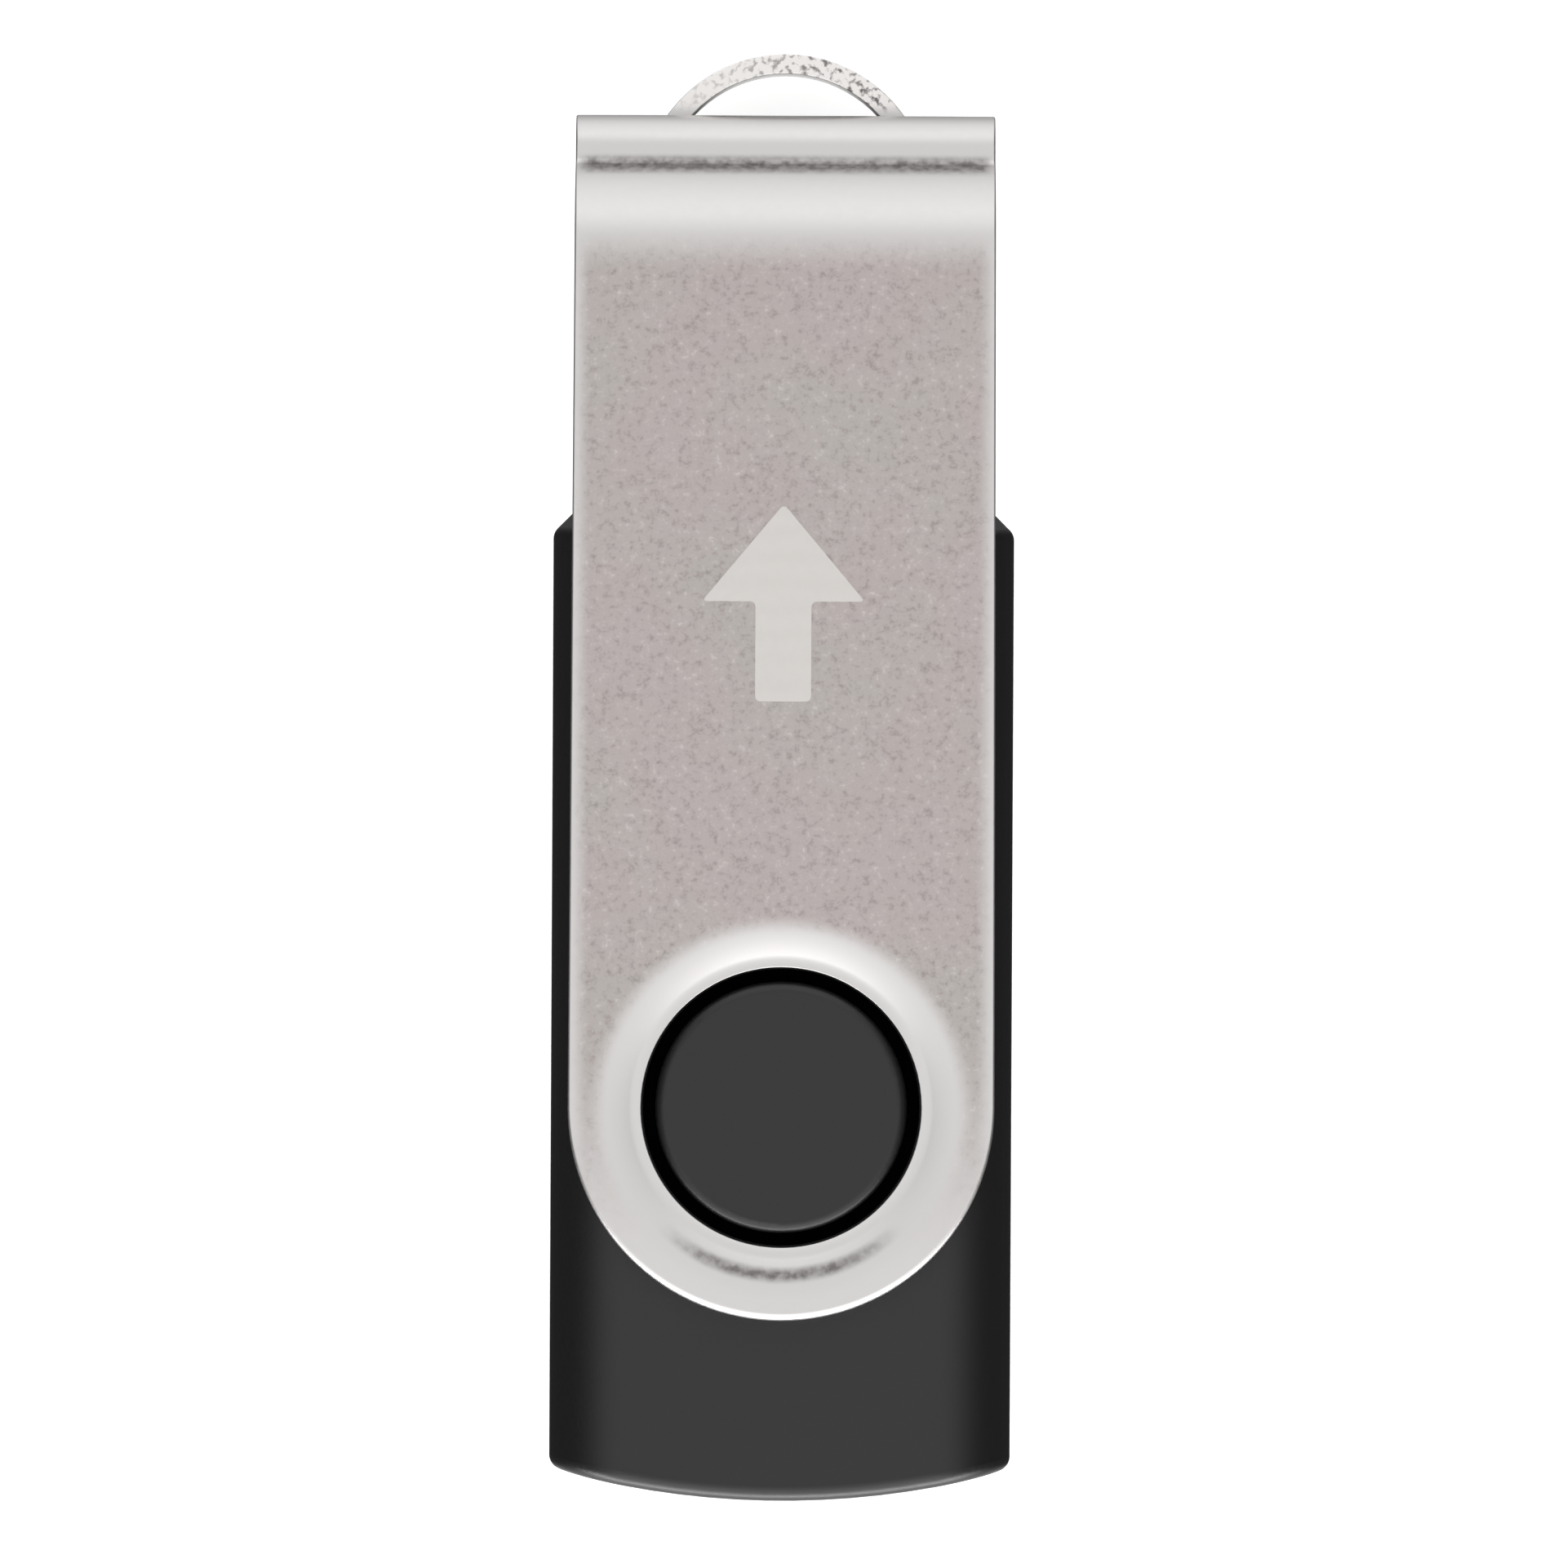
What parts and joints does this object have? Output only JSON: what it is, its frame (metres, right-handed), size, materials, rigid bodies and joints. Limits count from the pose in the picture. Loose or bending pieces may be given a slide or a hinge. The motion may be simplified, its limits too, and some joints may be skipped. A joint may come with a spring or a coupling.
{
  "type": "usb flash drive",
  "caption": "Swivel flash drive: a slim two-part black housing with a USB-A plug, held in a bent steel clip that turns on round bosses and carries a key loop.",
  "frame": {"origin": "centre of the footprint, on the surface that the drive lies on (the rear plate's outside)", "axes": "+Y towards the plug and the key loop, +Z out of the front plate, along the pivot"},
  "size_m": [0.019, 0.0596, 0.0109],
  "materials": {
    "clip_steel": "bead blasted, satin",
    "housing_black": "fine moulded texture",
    "plug_steel": "bright nickel plate",
    "insulator_white": "smooth moulded",
    "contact_gold": "gold plated",
    "board_green": "solder mask",
    "solder": "reflowed",
    "chip_epoxy": "moulded",
    "lead_tin": "matt tin plate",
    "ceramic": "fired",
    "crystal_steel": "plated",
    "capacitor_ceramic": "fired",
    "resistor_glaze": "glazed",
    "lens_resin": "clear cast"
  },
  "bodies": {
    "drive": {"front_housing": "housing_black", "rear_housing": "housing_black", "plug_shell": "plug_steel", "plug_insulator": "insulator_white", "contact_vbus": "contact_gold", "contact_data_minus": "contact_gold", "contact_data_plus": "contact_gold", "contact_ground": "contact_gold", "circuit_board": "board_green", "contact_solder": "solder", "tab_solder": "solder", "memory_chip": "chip_epoxy", "memory_chip_leads": "lead_tin", "controller_chip": "chip_epoxy", "controller_chip_leads": "lead_tin", "crystal_base": "ceramic", "crystal_lid": "crystal_steel", "capacitor_bodies": "capacitor_ceramic", "capacitor_terminals": "lead_tin", "resistor_bodies": "resistor_glaze", "resistor_terminals": "lead_tin", "led_base": "ceramic", "led_lens": "lens_resin"},
    "swivel": {"swivel_clip": "clip_steel"}
  },
  "joints": [
    {"name": "clip_swivel", "type": "hinge", "parent": "drive", "child": "swivel", "pos_m": [0, -0.01358, 0.00545], "axis": [0, 0, 1], "continuous": true}
  ]
}
